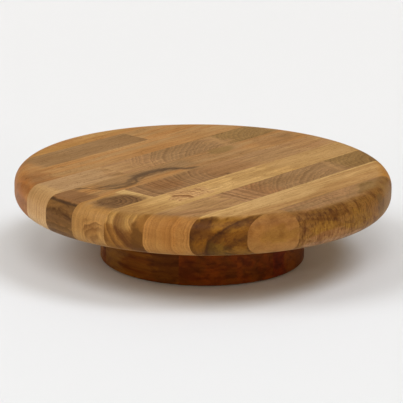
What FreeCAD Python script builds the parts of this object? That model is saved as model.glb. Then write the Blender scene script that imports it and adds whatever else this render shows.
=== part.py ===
import FreeCAD, Part
import os

import Sketcher

# A round wooden turntable: a butcher-block top, a flat ball swivel and a turned base.
# The origin is on the floor under the middle of the base, and +Z is the spin axis.
# The staves of the top run along Y and are numbered from +X to -X. Those of the base run
# along X and are numbered from -Y to +Y.

DIMENSIONS = [
    # top
    ("disc_radius", 150.0, "outer radius of the top"),
    ("disc_thickness", 30.0, "thickness of the top"),
    ("upper_rounding", 12.0, "radius of the top's upper edge"),
    ("lower_rounding", 12.5, "radius of the top's lower edge"),
    ("stave_count", 10.0, "staves across the top"),
    ("end_joint_01", -54.0, "Y of the butt joint in stave 1"),
    ("end_joint_03", -55.5, "Y of the butt joint in stave 3"),
    ("end_joint_05", -92.0, "Y of the butt joint in stave 5"),
    ("end_joint_07", -57.5, "Y of the butt joint in stave 7"),
    ("end_joint_09", 35.0, "Y of the butt joint in stave 9"),
    # base and feet
    ("base_radius", 82.0, "outer radius of the base"),
    ("base_height", 39.0, "height of the wooden base"),
    ("base_upper_rounding", 2.0, "radius of the base's upper edge"),
    ("base_lower_rounding", 1.2, "radius of the base's lower edge"),
    ("recess_radius", 70.0, "radius of the recess for the swivel"),
    ("recess_depth", 4.0, "depth of the recess for the swivel"),
    ("access_radius", 6.0, "radius of the access hole for a screwdriver"),
    ("base_stave_count", 6.0, "staves across the base"),
    ("base_stave_width", 31.0, "width of the base's inner staves"),
    ("first_base_joint", -72.5, "Y of the glue line between base staves 1 and 2"),
    ("foot_radius", 8.0, "radius of a rubber foot"),
    ("foot_height", 1.0, "height of a rubber foot"),
    ("foot_rounding", 0.6, "radius of a foot's lower edge"),
    ("foot_circle", 68.0, "distance of the feet from the axis"),
    # swivel
    ("swivel_height", 8.0, "height of the whole swivel"),
    ("plate_side", 102.0, "side of a square swivel plate"),
    ("plate_corner", 8.0, "corner radius of a plate"),
    ("sheet_gauge", 1.2, "thickness of the pressed sheet"),
    ("plate_opening", 41.0, "inner radius of the flat part of a plate"),
    ("press_overlap", 1.0, "width where flat plate and pressed ring merge"),
    ("race_radius", 36.0, "radius of the circle that the balls run on"),
    ("ball_radius", 1.95, "radius of a ball"),
    ("ball_play", 0.05, "gap between a ball and each raceway"),
    ("groove_radius", 2.1, "radius of a raceway groove's section"),
    ("shoulder_drop", 1.1, "height between the ball centres and a groove's shoulder"),
    ("shoulder_radius", 39.0, "radius where a raceway starts to slope to its plate"),
    ("slope_width", 1.4, "width of that slope"),
    ("slope_shift", 0.5, "how far the slope's back lies inwards of its front"),
    ("lip_radius", 32.2, "radius of a raceway's inner lip"),
    ("collar_radius", 31.8, "outer radius of the upper plate's collar"),
    ("curl_radius", 33.4, "outer radius of the collar's rolled edge"),
    ("curl_height", 1.0, "thickness of the rolled edge"),
    ("curl_gap", 0.4, "gap between the rolled edge and the lower plate"),
    ("ball_count", 24.0, "balls in the swivel"),
    ("retainer_inner", 33.2, "inner radius of the ball retainer"),
    ("retainer_outer", 38.8, "outer radius of the ball retainer"),
    ("retainer_height", 1.2, "height of the ball retainer"),
    ("pocket_play", 0.1, "gap between a ball and its pocket"),
    # screws
    ("screw_spot", 43.0, "distance of a plate's screws from its two middle lines"),
    ("screw_hole", 2.25, "radius of a plate's screw holes"),
    ("shank_radius", 1.75, "radius of a screw's shank"),
    ("shank_length", 10.0, "length of the shank, without its tip"),
    ("tip_length", 3.0, "length of a screw's tip"),
    ("head_radius", 3.5, "radius of a screw's head"),
    ("head_height", 2.4, "height of a screw's head"),
    ("head_rounding", 1.4, "radius of the head's edge"),
    ("drive_width", 0.9, "width of each slot of the cross drive"),
    ("drive_length", 3.6, "length of each slot of the cross drive"),
    ("drive_depth", 1.4, "depth of the cross drive"),
]

SPLIT_STAVES = (1, 3, 5, 7, 9)
TOP_SCREWED = ("stave_04", "stave_07_rear")
BASE_SCREWED = ("base_stave_2", "base_stave_4", "base_stave_6")
CORNER_SIGNS = ((1, 1), (-1, 1), (-1, -1), (1, -1))
UPSIDE_DOWN = FreeCAD.Rotation(FreeCAD.Vector(1, 0, 0), 180)
EIGHTH_TURN = FreeCAD.Rotation(FreeCAD.Vector(0, 0, 1), 45)

doc = FreeCAD.newDocument("turntable")
sheet = doc.addObject("Spreadsheet::Sheet", "Sizes")
for row, (alias, value, meaning) in enumerate(DIMENSIONS, start=1):
    sheet.set(f"A{row}", meaning)
    sheet.set(f"B{row}", str(value))
    sheet.setAlias(f"B{row}", alias)
doc.recompute()

# Lengths that follow from the driving dimensions, as expressions of the sheet
STAVE_WIDTH = "(2 * Sizes.disc_radius / Sizes.stave_count)"
RECESS_FLOOR = "(Sizes.foot_height + Sizes.base_height - Sizes.recess_depth)"
DISC_UNDERSIDE = f"({RECESS_FLOOR} + Sizes.swivel_height)"
BALL_HEIGHT = f"({RECESS_FLOOR} + Sizes.swivel_height / 2)"
SCREW_CIRCLE = "(Sizes.screw_spot * sqrt(2))"

# The same for a pressed plate, whose heights count from its flat face against the wood
GAUGE = "Sizes.sheet_gauge"
SHOULDER = "(Sizes.swivel_height / 2 - Sizes.shoulder_drop)"
SHOULDER_BACK = f"({SHOULDER} - {GAUGE})"
GROOVE_CENTRE = "(Sizes.swivel_height / 2 + Sizes.groove_radius - Sizes.ball_radius - Sizes.ball_play)"
GROOVE_BACK = f"(Sizes.groove_radius + {GAUGE})"
GROOVE_HALF = f"sqrt(Sizes.groove_radius ^ 2 - ({GROOVE_CENTRE} - {SHOULDER}) ^ 2)"
BACK_HALF = f"sqrt({GROOVE_BACK} ^ 2 - ({GROOVE_CENTRE} - {SHOULDER_BACK}) ^ 2)"
CURL_FACE = f"(Sizes.swivel_height - {SHOULDER_BACK} + Sizes.curl_gap)"


def number(expression):
    """The value that an expression of the sheet has."""
    result = sheet.evalExpression(expression)
    return float(getattr(result, "Value", result))


def bind(thing, **expressions):
    """Tie an object's properties to expressions of the sheet."""
    for name, expression in expressions.items():
        thing.setExpression(name, expression)
    return thing


def place(thing, x="0", y="0", z="0", turn=None):
    """Tie an object's position to expressions of the sheet, after turning it."""
    if turn:
        thing.Placement = FreeCAD.Placement(FreeCAD.Vector(), turn)
    for axis, expression in (("x", x), ("y", y), ("z", z)):
        thing.setExpression(f"Placement.Base.{axis}", expression)
    return thing


def place_round(thing, circle, angle, z="0", turn=None):
    """Place an object at an angle, in degrees, on a circle about the spin axis."""
    return place(thing, f"{circle} * cos({angle})", f"{circle} * sin({angle})", z, turn)


def new_part(kind, name, **expressions):
    return bind(doc.addObject(f"Part::{kind}", name), **expressions)


def new_body(name):
    return doc.addObject("PartDesign::Body", name)


def new_sketch(body, name, role, lift=None):
    """A sketch on one of the body's own origin planes, lifted along the plane's normal."""
    plane = next(item for item in body.Origin.OriginFeatures if item.Role == role)
    sketch = body.newObject("Sketcher::SketchObject", f"{body.Name}_{name}")
    sketch.AttachmentSupport = [(plane, "")]
    sketch.MapMode = "FlatFace"
    if lift:
        sketch.setExpression("AttachmentOffset.Base.z", lift)
    return sketch


def set_datum(sketch, kind, elements, name, expression):
    """A dimension of a sketch that follows an expression of the sheet."""
    index = sketch.addConstraint(Sketcher.Constraint(kind, *elements, number(expression)))
    sketch.renameConstraint(index, name)
    sketch.setExpression(f"Constraints.{name}", expression)


def pin_point(sketch, geometry, end, name, x, y):
    """Hold one point of a sketch at two expressions of the sheet."""
    point = (geometry, end)
    if x == "0":
        sketch.addConstraint(Sketcher.Constraint("PointOnObject", *point, -2))
    else:
        set_datum(sketch, "DistanceX", (-1, 1, *point), f"{name}_x", x)
    if y == "0":
        sketch.addConstraint(Sketcher.Constraint("PointOnObject", *point, -1))
    else:
        set_datum(sketch, "DistanceY", (-1, 1, *point), f"{name}_y", y)


def draw_circle(sketch, name, radius, x="0", y="0"):
    centre = FreeCAD.Vector(number(x), number(y), 0)
    circle = Part.Circle(centre, FreeCAD.Vector(0, 0, 1), number(radius))
    geometry = sketch.addGeometry(circle)
    set_datum(sketch, "Radius", (geometry,), f"{name}_radius", radius)
    pin_point(sketch, geometry, 3, name, x, y)


def draw_outline(sketch, corners):
    """A closed outline. A corner is (x, y), or (x, y, radius, centre x, centre y) where
    the way to the next corner is an arc."""
    flat = [FreeCAD.Vector(number(corner[0]), number(corner[1]), 0) for corner in corners]
    ends = []
    for index, corner in enumerate(corners):
        start = flat[index]
        finish = flat[(index + 1) % len(flat)]
        if len(corner) == 2:
            geometry = sketch.addGeometry(Part.LineSegment(start, finish))
            ends.append((geometry, 1, 2))
        else:
            geometry, forwards = draw_arc(sketch, start, finish, *corner[2:])
            ends.append((geometry, 1, 2) if forwards else (geometry, 2, 1))
            set_datum(sketch, "Radius", (geometry,), f"arc_{index}", corner[2])
    for index, (geometry, first, last) in enumerate(ends):
        following, its_first, _ = ends[(index + 1) % len(ends)]
        sketch.addConstraint(
            Sketcher.Constraint("Coincident", geometry, last, following, its_first))
        pin_point(sketch, geometry, first, f"corner_{index}", *corners[index][:2])


def draw_arc(sketch, start, finish, radius, centre_x, centre_y):
    """The shorter arc between two points, and whether it runs counterclockwise."""
    centre = FreeCAD.Vector(number(centre_x), number(centre_y), 0)
    circle = Part.Circle(centre, FreeCAD.Vector(0, 0, 1), number(radius))
    forwards = (start - centre).cross(finish - centre).z > 0
    low, high = (start, finish) if forwards else (finish, start)
    arc = Part.ArcOfCircle(circle, circle.parameter(low), circle.parameter(high))
    return sketch.addGeometry(arc), forwards


def revolve(body, name, corners):
    """Add a full turn of an outline about Z to a body. The outline's x is the radius."""
    sketch = new_sketch(body, f"{name}_section", "XZ_Plane")
    draw_outline(sketch, corners)
    feature = body.newObject("PartDesign::Revolution", f"{body.Name}_{name}")
    feature.Profile = sketch
    feature.ReferenceAxis = (sketch, ["V_Axis"])
    feature.Angle = 360
    return feature


def cut_through(body, sketch, name, depth=None):
    """Pocket a sketch: to the given depth below it, or right through the body above it."""
    before = solid_volume(body)
    pocket = body.newObject("PartDesign::Pocket", f"{body.Name}_{name}")
    pocket.Profile = sketch
    if depth:
        pocket.setExpression("Length", depth)
    else:
        pocket.Type = "ThroughAll"
        pocket.Reversed = True
    if solid_volume(body) >= before:
        raise RuntimeError(f"{pocket.Name} removes nothing")
    return pocket


def solid_volume(body):
    doc.recompute()
    return body.Shape.Volume


def turned_body(name, corners):
    body = new_body(name)
    revolve(body, "turning", corners)
    return body


def rounded_round(radius, height, lower, upper):
    """Half the section of a disc with rounded edges, standing on its underside."""
    return [
        ("0", "0"),
        (f"{radius} - {lower}", "0", lower, f"{radius} - {lower}", lower),
        (radius, lower),
        (radius, f"{height} - {upper}", upper, f"{radius} - {upper}", f"{height} - {upper}"),
        (f"{radius} - {upper}", height),
        ("0", height),
    ]


def make_screw(name):
    """A pan-head wood screw with a cross drive, its head standing on the plane z = 0."""
    rounding_start = "Sizes.head_height - Sizes.head_rounding"
    flat_radius = "Sizes.head_radius - Sizes.head_rounding"
    screw = turned_body(name, [
        ("0", "-Sizes.shank_length - Sizes.tip_length"),
        ("Sizes.shank_radius", "-Sizes.shank_length"),
        ("Sizes.shank_radius", "0"),
        ("Sizes.head_radius", "0"),
        ("Sizes.head_radius", rounding_start, "Sizes.head_rounding", flat_radius, rounding_start),
        (flat_radius, "Sizes.head_height"),
        ("0", "Sizes.head_height"),
    ])
    near = "Sizes.drive_width / 2"
    far = "Sizes.drive_length / 2"
    cross = new_sketch(screw, "cross", "XY_Plane", lift="Sizes.head_height")
    draw_outline(cross, [
        (far, f"-{near}"), (far, near), (near, near), (near, far),
        (f"-{near}", far), (f"-{near}", near), (f"-{far}", near), (f"-{far}", f"-{near}"),
        (f"-{near}", f"-{near}"), (f"-{near}", f"-{far}"), (near, f"-{far}"), (near, f"-{near}"),
    ])
    cut_through(screw, cross, "drive", depth="Sizes.drive_depth")
    return screw


def make_screws(name, height, first_angle, turn=None):
    """Four screws through the corners of a plate, as one group of separate solids."""
    group = doc.addObject("Part::Compound", name)
    group.Links = [
        place_round(make_screw(f"{name}_{index + 1}"), SCREW_CIRCLE, first_angle + 90 * index,
                    height, turn)
        for index in range(4)
    ]
    return group


def make_plate(name):
    """A square pressed plate with a raceway round its opening, lying on its flat face."""
    plate = new_body(name)
    sketch = new_sketch(plate, "outline", "XY_Plane")
    half = "Sizes.plate_side / 2"
    inset = f"({half} - Sizes.plate_corner)"
    corner = "Sizes.plate_corner"
    draw_outline(sketch, [
        (f"-{inset}", f"-{half}"),
        (inset, f"-{half}", corner, inset, f"-{inset}"),
        (half, f"-{inset}"),
        (half, inset, corner, inset, inset),
        (inset, half),
        (f"-{inset}", half, corner, f"-{inset}", inset),
        (f"-({half})", inset),
        (f"-({half})", f"-{inset}", corner, f"-{inset}", f"-{inset}"),
    ])
    draw_circle(sketch, "opening", "Sizes.plate_opening")
    for index, (x_sign, y_sign) in enumerate(CORNER_SIGNS, start=1):
        draw_circle(sketch, f"screw_{index}", "Sizes.screw_hole",
                    f"{x_sign} * Sizes.screw_spot", f"{y_sign} * Sizes.screw_spot")
    pad = plate.newObject("PartDesign::Pad", f"{name}_sheet")
    pad.Profile = sketch
    pad.setExpression("Length", GAUGE)
    foot = "Sizes.shoulder_radius + Sizes.slope_width"
    edge = "Sizes.plate_opening + Sizes.press_overlap"
    race = "Sizes.race_radius"
    revolve(plate, "raceway", [
        ("Sizes.lip_radius", SHOULDER),
        (f"{race} - {GROOVE_HALF}", SHOULDER, "Sizes.groove_radius", race, GROOVE_CENTRE),
        (f"{race} + {GROOVE_HALF}", SHOULDER),
        ("Sizes.shoulder_radius", SHOULDER),
        (foot, GAUGE),
        (edge, GAUGE),
        (edge, "0"),
        (f"{foot} - Sizes.slope_shift", "0"),
        ("Sizes.shoulder_radius - Sizes.slope_shift", SHOULDER_BACK),
        (f"{race} + {BACK_HALF}", SHOULDER_BACK, GROOVE_BACK, race, GROOVE_CENTRE),
        (f"{race} - {BACK_HALF}", SHOULDER_BACK),
        ("Sizes.lip_radius", SHOULDER_BACK),
    ])
    return plate


def add_collar(plate):
    """The collar that passes through the other plate and is rolled out behind it."""
    bore = f"Sizes.collar_radius - {GAUGE}"
    bend = "Sizes.curl_height"
    curl_back = f"{CURL_FACE} + Sizes.curl_height"
    merge = "Sizes.lip_radius + Sizes.slope_shift"
    revolve(plate, "collar", [
        (f"{bore} + {bend}", SHOULDER_BACK),
        (merge, SHOULDER_BACK),
        (merge, SHOULDER),
        ("Sizes.collar_radius", SHOULDER),
        ("Sizes.collar_radius", CURL_FACE),
        ("Sizes.curl_radius", CURL_FACE),
        ("Sizes.curl_radius", curl_back),
        (f"{bore} + {bend}", curl_back, bend, f"{bore} + {bend}", CURL_FACE),
        (bore, CURL_FACE),
        (bore, f"{SHOULDER_BACK} + {bend}", bend, f"{bore} + {bend}", f"{SHOULDER_BACK} + {bend}"),
    ])


def make_retainer():
    """A flat ring with a pocket for each ball."""
    retainer = new_body("ball_retainer")
    ring = new_sketch(retainer, "ring", "XY_Plane")
    draw_circle(ring, "outer", "Sizes.retainer_outer")
    draw_circle(ring, "inner", "Sizes.retainer_inner")
    pad = retainer.newObject("PartDesign::Pad", "ball_retainer_pad")
    pad.Profile = ring
    pad.setExpression("Length", "Sizes.retainer_height")
    hole = new_sketch(retainer, "pocket", "XY_Plane")
    draw_circle(hole, "pocket", "Sizes.ball_radius + Sizes.pocket_play", "Sizes.race_radius")
    pocket = cut_through(retainer, hole, "ball_pocket")
    pattern = retainer.newObject("PartDesign::PolarPattern", "ball_retainer_pattern")
    pattern.Originals = [pocket]
    pattern.Axis = (hole, ["N_Axis"])
    pattern.Angle = 360
    pattern.setExpression("Occurrences", "Sizes.ball_count")
    retainer.Tip = pattern
    return place(retainer, z=f"{BALL_HEIGHT} - Sizes.retainer_height / 2")


def make_balls():
    """The balls, as one group of separate solids."""
    group = doc.addObject("Part::Compound", "bearing_balls")
    balls = []
    for index in range(round(number("Sizes.ball_count"))):
        ball = new_part("Sphere", f"ball_{index + 1}", Radius="Sizes.ball_radius")
        angle = f"360 * {index} / Sizes.ball_count"
        balls.append(place_round(ball, "Sizes.race_radius", angle, BALL_HEIGHT))
    group.Links = balls
    return group


def slice_turning(turning, name, corner, lengths, screws=None):
    """The part of a turned blank inside a box, less the room that screws take up in it."""
    blank = new_part("Box", f"{name}_blank", Length=lengths[0], Width=lengths[1],
                     Height=lengths[2])
    place(blank, *corner)
    piece = doc.addObject("Part::Common", f"{name}_slice" if screws else name)
    piece.Base = blank
    piece.Tool = turning
    if not screws:
        return piece
    result = doc.addObject("Part::Cut", name)
    result.Base = piece
    result.Tool = screws
    return result


def make_top(screws):
    """The staves of the top, some of them in two lengths butted end to end."""
    radius = "Sizes.disc_radius"
    turning = turned_body("turned_top", rounded_round(
        radius, "Sizes.disc_thickness", "Sizes.lower_rounding", "Sizes.upper_rounding"))
    place(turning, z=DISC_UNDERSIDE)
    pieces = []
    for stave in range(1, round(number("Sizes.stave_count")) + 1):
        name = f"stave_{stave:02d}"
        lengths = {name: (f"-{radius}", radius)}
        if stave in SPLIT_STAVES:
            joint = f"Sizes.end_joint_{stave:02d}"
            lengths = {f"{name}_front": (f"-{radius}", joint), f"{name}_rear": (joint, radius)}
        for label, (low, high) in lengths.items():
            corner = (f"{radius} - {stave} * {STAVE_WIDTH}", low, DISC_UNDERSIDE)
            extent = (STAVE_WIDTH, f"{high} - ({low})", "Sizes.disc_thickness")
            pieces.append(slice_turning(turning, label, corner, extent,
                                        screws if label in TOP_SCREWED else None))
    return pieces


def make_base(screws):
    """The staves of the base, with its recess, access hole and the room of its screws."""
    radius = "Sizes.base_radius"
    outline = rounded_round(radius, "Sizes.base_height", "Sizes.base_lower_rounding",
                            "Sizes.base_upper_rounding")
    recess_floor = "Sizes.base_height - Sizes.recess_depth"
    outline[-1:] = [
        ("Sizes.recess_radius", "Sizes.base_height"),
        ("Sizes.recess_radius", recess_floor),
        ("0", recess_floor),
    ]
    turning = turned_body("turned_base", outline)
    access = new_sketch(turning, "access", "XY_Plane")
    draw_circle(access, "access", "Sizes.access_radius", "-Sizes.screw_spot", "Sizes.screw_spot")
    cut_through(turning, access, "access_hole")
    place(turning, z="Sizes.foot_height")
    count = round(number("Sizes.base_stave_count"))
    joints = [f"(Sizes.first_base_joint + {index} * Sizes.base_stave_width)"
              for index in range(count - 1)]
    edges = [f"-{radius}", *joints, radius]
    pieces = []
    for index in range(count):
        label = f"base_stave_{index + 1}"
        corner = (f"-{radius}", edges[index], "Sizes.foot_height")
        extent = (f"2 * {radius}", f"{edges[index + 1]} - ({edges[index]})", "Sizes.base_height")
        pieces.append(slice_turning(turning, label, corner, extent,
                                    screws if label in BASE_SCREWED else None))
    return pieces


def make_foot(index):
    outline = rounded_round("Sizes.foot_radius", "Sizes.foot_height", "Sizes.foot_rounding",
                            "Sizes.foot_rounding")
    outline[3:5] = [("Sizes.foot_radius", "Sizes.foot_height")]
    foot = turned_body(f"rubber_foot_{index + 1}", outline)
    return place_round(foot, "Sizes.foot_circle", 90 * index)


base_screws = make_screws("base_screws", f"{RECESS_FLOOR} + {GAUGE}", first_angle=0)
top_screws = make_screws("top_screws", f"{DISC_UNDERSIDE} - {GAUGE}", first_angle=45,
                         turn=UPSIDE_DOWN)
lower_plate = place(make_plate("bearing_lower_plate"), z=RECESS_FLOOR, turn=EIGHTH_TURN)
upper_plate = make_plate("bearing_upper_plate")
add_collar(upper_plate)
place(upper_plate, z=DISC_UNDERSIDE, turn=UPSIDE_DOWN)

nodes = make_top(top_screws) + make_base(base_screws)
nodes += [lower_plate, upper_plate, make_retainer(), make_balls(), base_screws, top_screws]
nodes += [make_foot(index) for index in range(4)]

doc.recompute()
for thing in doc.Objects:
    if "Invalid" in thing.State or "Error" in thing.State:
        raise RuntimeError(f"{thing.Label} did not build: {thing.State}")

os.makedirs("parts", exist_ok=True)
for node in nodes:
    if node.Shape.isNull() or not node.Shape.isValid():
        raise RuntimeError(f"{node.Label} has no valid shape")
    node.Shape.exportStep(f"parts/{node.Label}.step")
    print(f"{node.Label}: {len(node.Shape.Solids)} solid(s), {node.Shape.Volume / 1000:.2f} cm3")
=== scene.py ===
import math

import bmesh
import bpy
from mathutils import Matrix, Quaternion, Vector


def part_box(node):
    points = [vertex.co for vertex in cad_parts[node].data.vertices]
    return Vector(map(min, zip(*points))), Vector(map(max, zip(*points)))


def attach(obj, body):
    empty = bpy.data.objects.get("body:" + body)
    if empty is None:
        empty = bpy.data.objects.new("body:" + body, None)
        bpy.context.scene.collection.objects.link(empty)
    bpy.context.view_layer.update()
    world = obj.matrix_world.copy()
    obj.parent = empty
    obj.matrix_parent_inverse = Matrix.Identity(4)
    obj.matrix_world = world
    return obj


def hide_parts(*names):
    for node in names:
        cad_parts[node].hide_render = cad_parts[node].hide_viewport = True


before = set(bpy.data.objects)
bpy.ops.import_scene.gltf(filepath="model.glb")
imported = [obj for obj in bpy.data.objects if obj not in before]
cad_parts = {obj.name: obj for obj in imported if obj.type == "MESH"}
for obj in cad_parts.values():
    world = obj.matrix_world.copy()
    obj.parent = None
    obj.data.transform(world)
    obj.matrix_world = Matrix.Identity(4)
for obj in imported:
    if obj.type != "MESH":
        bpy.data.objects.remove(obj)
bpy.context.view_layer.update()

MM = 0.001
TOP_STAVES = 10
BALL_COUNT = 24

# Shapes that the frame's boxes don't give, in metres
UPPER_ROUNDING = 12.0 * MM
LOWER_ROUNDING = 12.5 * MM
BASE_UPPER_ROUNDING = 2.0 * MM
BASE_LOWER_ROUNDING = 1.2 * MM
RECESS_RADIUS = 70.0 * MM
ACCESS_RADIUS = 6.0 * MM
ACCESS_OFFSET = 43.0 * MM
GLUE_LINE_EASE = 0.10 * MM
FOOT_ROUNDING = 0.6 * MM
FOOT_BEVEL = 0.2 * MM
FOOT_LIP = 2.4 * MM
DISH_DEPTH = 0.5 * MM
FOOT_EASE = 0.15 * MM
PLATE_EASE = 0.12 * MM
RETAINER_EASE = 0.08 * MM
SCREW_EASE = 0.06 * MM

# How finely round shapes are divided, and which edges count as sharp, in degrees
LATHE_STEPS = 480
FOOT_STEPS = 96
HOLE_STEPS = 64
ARC_STEPS = 12
SHARP_ANGLE = 40
METAL_SHARP_ANGLE = 30


# ---------------------------------------------------------------- frame

def box_of(names):
    """The box round several CAD nodes."""
    boxes = [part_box(name) for name in names]
    low = Vector([min(box[0][axis] for box in boxes) for axis in range(3)])
    high = Vector([max(box[1][axis] for box in boxes) for axis in range(3)])
    return low, high


top_names = sorted(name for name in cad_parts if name.startswith("stave_"))
base_names = sorted(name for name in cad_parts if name.startswith("base_stave_"))
foot_names = sorted(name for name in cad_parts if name.startswith("rubber_foot_"))
top_low, top_high = box_of(top_names)
base_low, base_high = box_of(base_names)
recess_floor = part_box("bearing_lower_plate")[0].z
disc_radius = top_high.x
base_radius = base_high.x
stave_width = 2 * disc_radius / TOP_STAVES

# The same in millimetres, for the wood's figure
radius_mm = round(disc_radius / MM, 3)
stave_mm = round(stave_width / MM, 3)


# ---------------------------------------------------------------- meshes

def arc(centre, radius, start, finish, steps=ARC_STEPS):
    """Points of (radius, height) on an arc, its angles in degrees from the outward axis."""
    angles = [math.radians(start + (finish - start) * step / steps) for step in range(steps + 1)]
    return [(centre[0] + radius * math.cos(angle), centre[1] + radius * math.sin(angle))
            for angle in angles]


def lathe(outline, steps=LATHE_STEPS):
    """A closed mesh: the outline, turned about Z, with a flat face at each of its ends."""
    mesh = bmesh.new()
    rings = []
    for radius, height in outline:
        rings.append([
            mesh.verts.new((radius * math.cos(turn), radius * math.sin(turn), height))
            for turn in (math.tau * step / steps for step in range(steps))
        ])
    for lower, upper in zip(rings, rings[1:]):
        for step in range(steps):
            after = (step + 1) % steps
            mesh.faces.new((lower[step], lower[after], upper[after], upper[step]))
    mesh.faces.new(list(reversed(rings[0])))
    mesh.faces.new(rings[-1])
    return mesh


def slice_off(mesh, point, outward):
    """Cut away what lies beyond a plane, and close the cut."""
    cut = bmesh.ops.bisect_plane(
        mesh, geom=[*mesh.verts, *mesh.edges, *mesh.faces], dist=1e-7,
        plane_co=point, plane_no=outward, clear_outer=True)
    edges = [item for item in cut["geom_cut"] if isinstance(item, bmesh.types.BMEdge)]
    bmesh.ops.edgeloop_fill(mesh, edges=edges)


def add_object(name, mesh):
    """A smooth-shaded object from a bmesh, which this frees."""
    bmesh.ops.recalc_face_normals(mesh, faces=mesh.faces)
    data = bpy.data.meshes.new(name)
    mesh.to_mesh(data)
    mesh.free()
    data.shade_smooth()
    obj = bpy.data.objects.new(name, data)
    bpy.context.scene.collection.objects.link(obj)
    return obj


def ease_edges(obj, width, angle=SHARP_ANGLE):
    """Round an object's sharp edges a little and keep its flat faces flat."""
    bevel = obj.modifiers.new("ease", "BEVEL")
    bevel.width = width
    bevel.segments = 2
    bevel.limit_method = "ANGLE"
    bevel.angle_limit = math.radians(angle)
    flat = obj.modifiers.new("flat_faces", "WEIGHTED_NORMAL")
    flat.weight = 100
    return obj


def stand_for(obj, node, body, material):
    """Put a finished piece in the place of its CAD node."""
    obj.data.materials.clear()
    obj.data.materials.append(material)
    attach(obj, body)
    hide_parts(node)


def top_blank():
    """The whole turned top."""
    flat = disc_radius - UPPER_ROUNDING
    low_flat = disc_radius - LOWER_ROUNDING
    return lathe(
        arc((low_flat, top_low.z + LOWER_ROUNDING), LOWER_ROUNDING, -90, 0)
        + arc((flat, top_high.z - UPPER_ROUNDING), UPPER_ROUNDING, 0, 90))


def base_blank():
    """The whole turned base, with the recess in its upper face."""
    return lathe(
        arc((base_radius - BASE_LOWER_ROUNDING, base_low.z + BASE_LOWER_ROUNDING),
            BASE_LOWER_ROUNDING, -90, 0, steps=5)
        + arc((base_radius - BASE_UPPER_ROUNDING, base_high.z - BASE_UPPER_ROUNDING),
              BASE_UPPER_ROUNDING, 0, 90, steps=6)
        + [(RECESS_RADIUS, base_high.z), (RECESS_RADIUS, recess_floor)])


def make_stave(name):
    """One wooden piece of the top, cut from the turned blank along its glue lines."""
    low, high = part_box(name)
    number = int(name.split("_")[1])
    mesh = top_blank()
    outer = disc_radius - (number - 1) * stave_width
    inner = outer - stave_width
    if outer < disc_radius - MM:
        slice_off(mesh, (outer, 0, 0), (1, 0, 0))
    if inner > -disc_radius + MM:
        slice_off(mesh, (inner, 0, 0), (-1, 0, 0))
    if name.endswith("_front"):
        slice_off(mesh, (0, high.y, 0), (0, 1, 0))
    if name.endswith("_rear"):
        slice_off(mesh, (0, low.y, 0), (0, -1, 0))
    return ease_edges(add_object(f"{name}_wood", mesh), GLUE_LINE_EASE)


def make_base_stave(name):
    """One wooden piece of the base."""
    low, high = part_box(name)
    mesh = base_blank()
    if name != base_names[0]:
        slice_off(mesh, (0, low.y, 0), (0, -1, 0))
    if name != base_names[-1]:
        slice_off(mesh, (0, high.y, 0), (0, 1, 0))
    stave = add_object(f"{name}_wood", mesh)
    if low.y < ACCESS_OFFSET < high.y:
        drill(stave, -ACCESS_OFFSET, ACCESS_OFFSET, ACCESS_RADIUS)
    stave.data.set_sharp_from_angle(angle=math.radians(SHARP_ANGLE))
    return stave


def drill(obj, x, y, radius):
    """Drill an upright hole right through an object."""
    mesh = bmesh.new()
    bmesh.ops.create_cone(mesh, cap_ends=True, segments=HOLE_STEPS, radius1=radius,
                          radius2=radius, depth=1.0)
    bmesh.ops.translate(mesh, verts=mesh.verts, vec=(x, y, 0))
    bit = add_object("drill_bit", mesh)
    hole = obj.modifiers.new("hole", "BOOLEAN")
    hole.object = bit
    graph = bpy.context.evaluated_depsgraph_get()
    drilled = bpy.data.meshes.new_from_object(obj.evaluated_get(graph))
    obj.modifiers.clear()
    obj.data = drilled
    bpy.data.objects.remove(bit)


def make_foot(name):
    """A rubber foot: a low disc with a shallow dish in its underside."""
    low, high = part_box(name)
    radius = (high.x - low.x) / 2
    dish = radius - FOOT_LIP
    dish_side = dish - 0.4 * MM
    dish_floor = dish - 1.5 * MM
    mesh = lathe(
        [(dish_floor, low.z + DISH_DEPTH), (dish_side, low.z + 0.8 * DISH_DEPTH), (dish, low.z)]
        + arc((radius - FOOT_ROUNDING, low.z + FOOT_ROUNDING), FOOT_ROUNDING, -90, 0, steps=5)
        + [(radius, high.z - FOOT_BEVEL), (radius - FOOT_BEVEL, high.z)],
        steps=FOOT_STEPS)
    centre = Vector(((low.x + high.x) / 2, (low.y + high.y) / 2, 0))
    bmesh.ops.translate(mesh, verts=mesh.verts, vec=centre)
    return ease_edges(add_object(f"{name}_rubber", mesh), FOOT_EASE)


def make_balls():
    """The ring of steel balls, as separate spheres in one object."""
    low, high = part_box("bearing_balls")
    radius = (high.z - low.z) / 2
    circle = high.x - radius
    mesh = bmesh.new()
    for index in range(BALL_COUNT):
        turn = math.tau * index / BALL_COUNT
        centre = Vector((circle * math.cos(turn), circle * math.sin(turn), (low.z + high.z) / 2))
        bmesh.ops.create_icosphere(mesh, subdivisions=4, radius=radius,
                                   matrix=Matrix.Translation(centre))
    return add_object("bearing_balls_steel", mesh)


def polished(node, width):
    """A copy of a CAD node's mesh with welded vertices and lightly rounded edges."""
    mesh = bmesh.new()
    mesh.from_mesh(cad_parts[node].data)
    bmesh.ops.remove_doubles(mesh, verts=mesh.verts, dist=0.002 * MM)
    bmesh.ops.dissolve_limit(mesh, angle_limit=math.radians(0.5), verts=mesh.verts,
                             edges=mesh.edges)
    return ease_edges(add_object(f"{node}_metal", mesh), width, METAL_SHARP_ANGLE)


# ---------------------------------------------------------------- shader building

# A Mix node's colour sockets: its two inputs and its output
MIX_A, MIX_B, MIX_RESULT = 6, 7, 2


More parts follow.
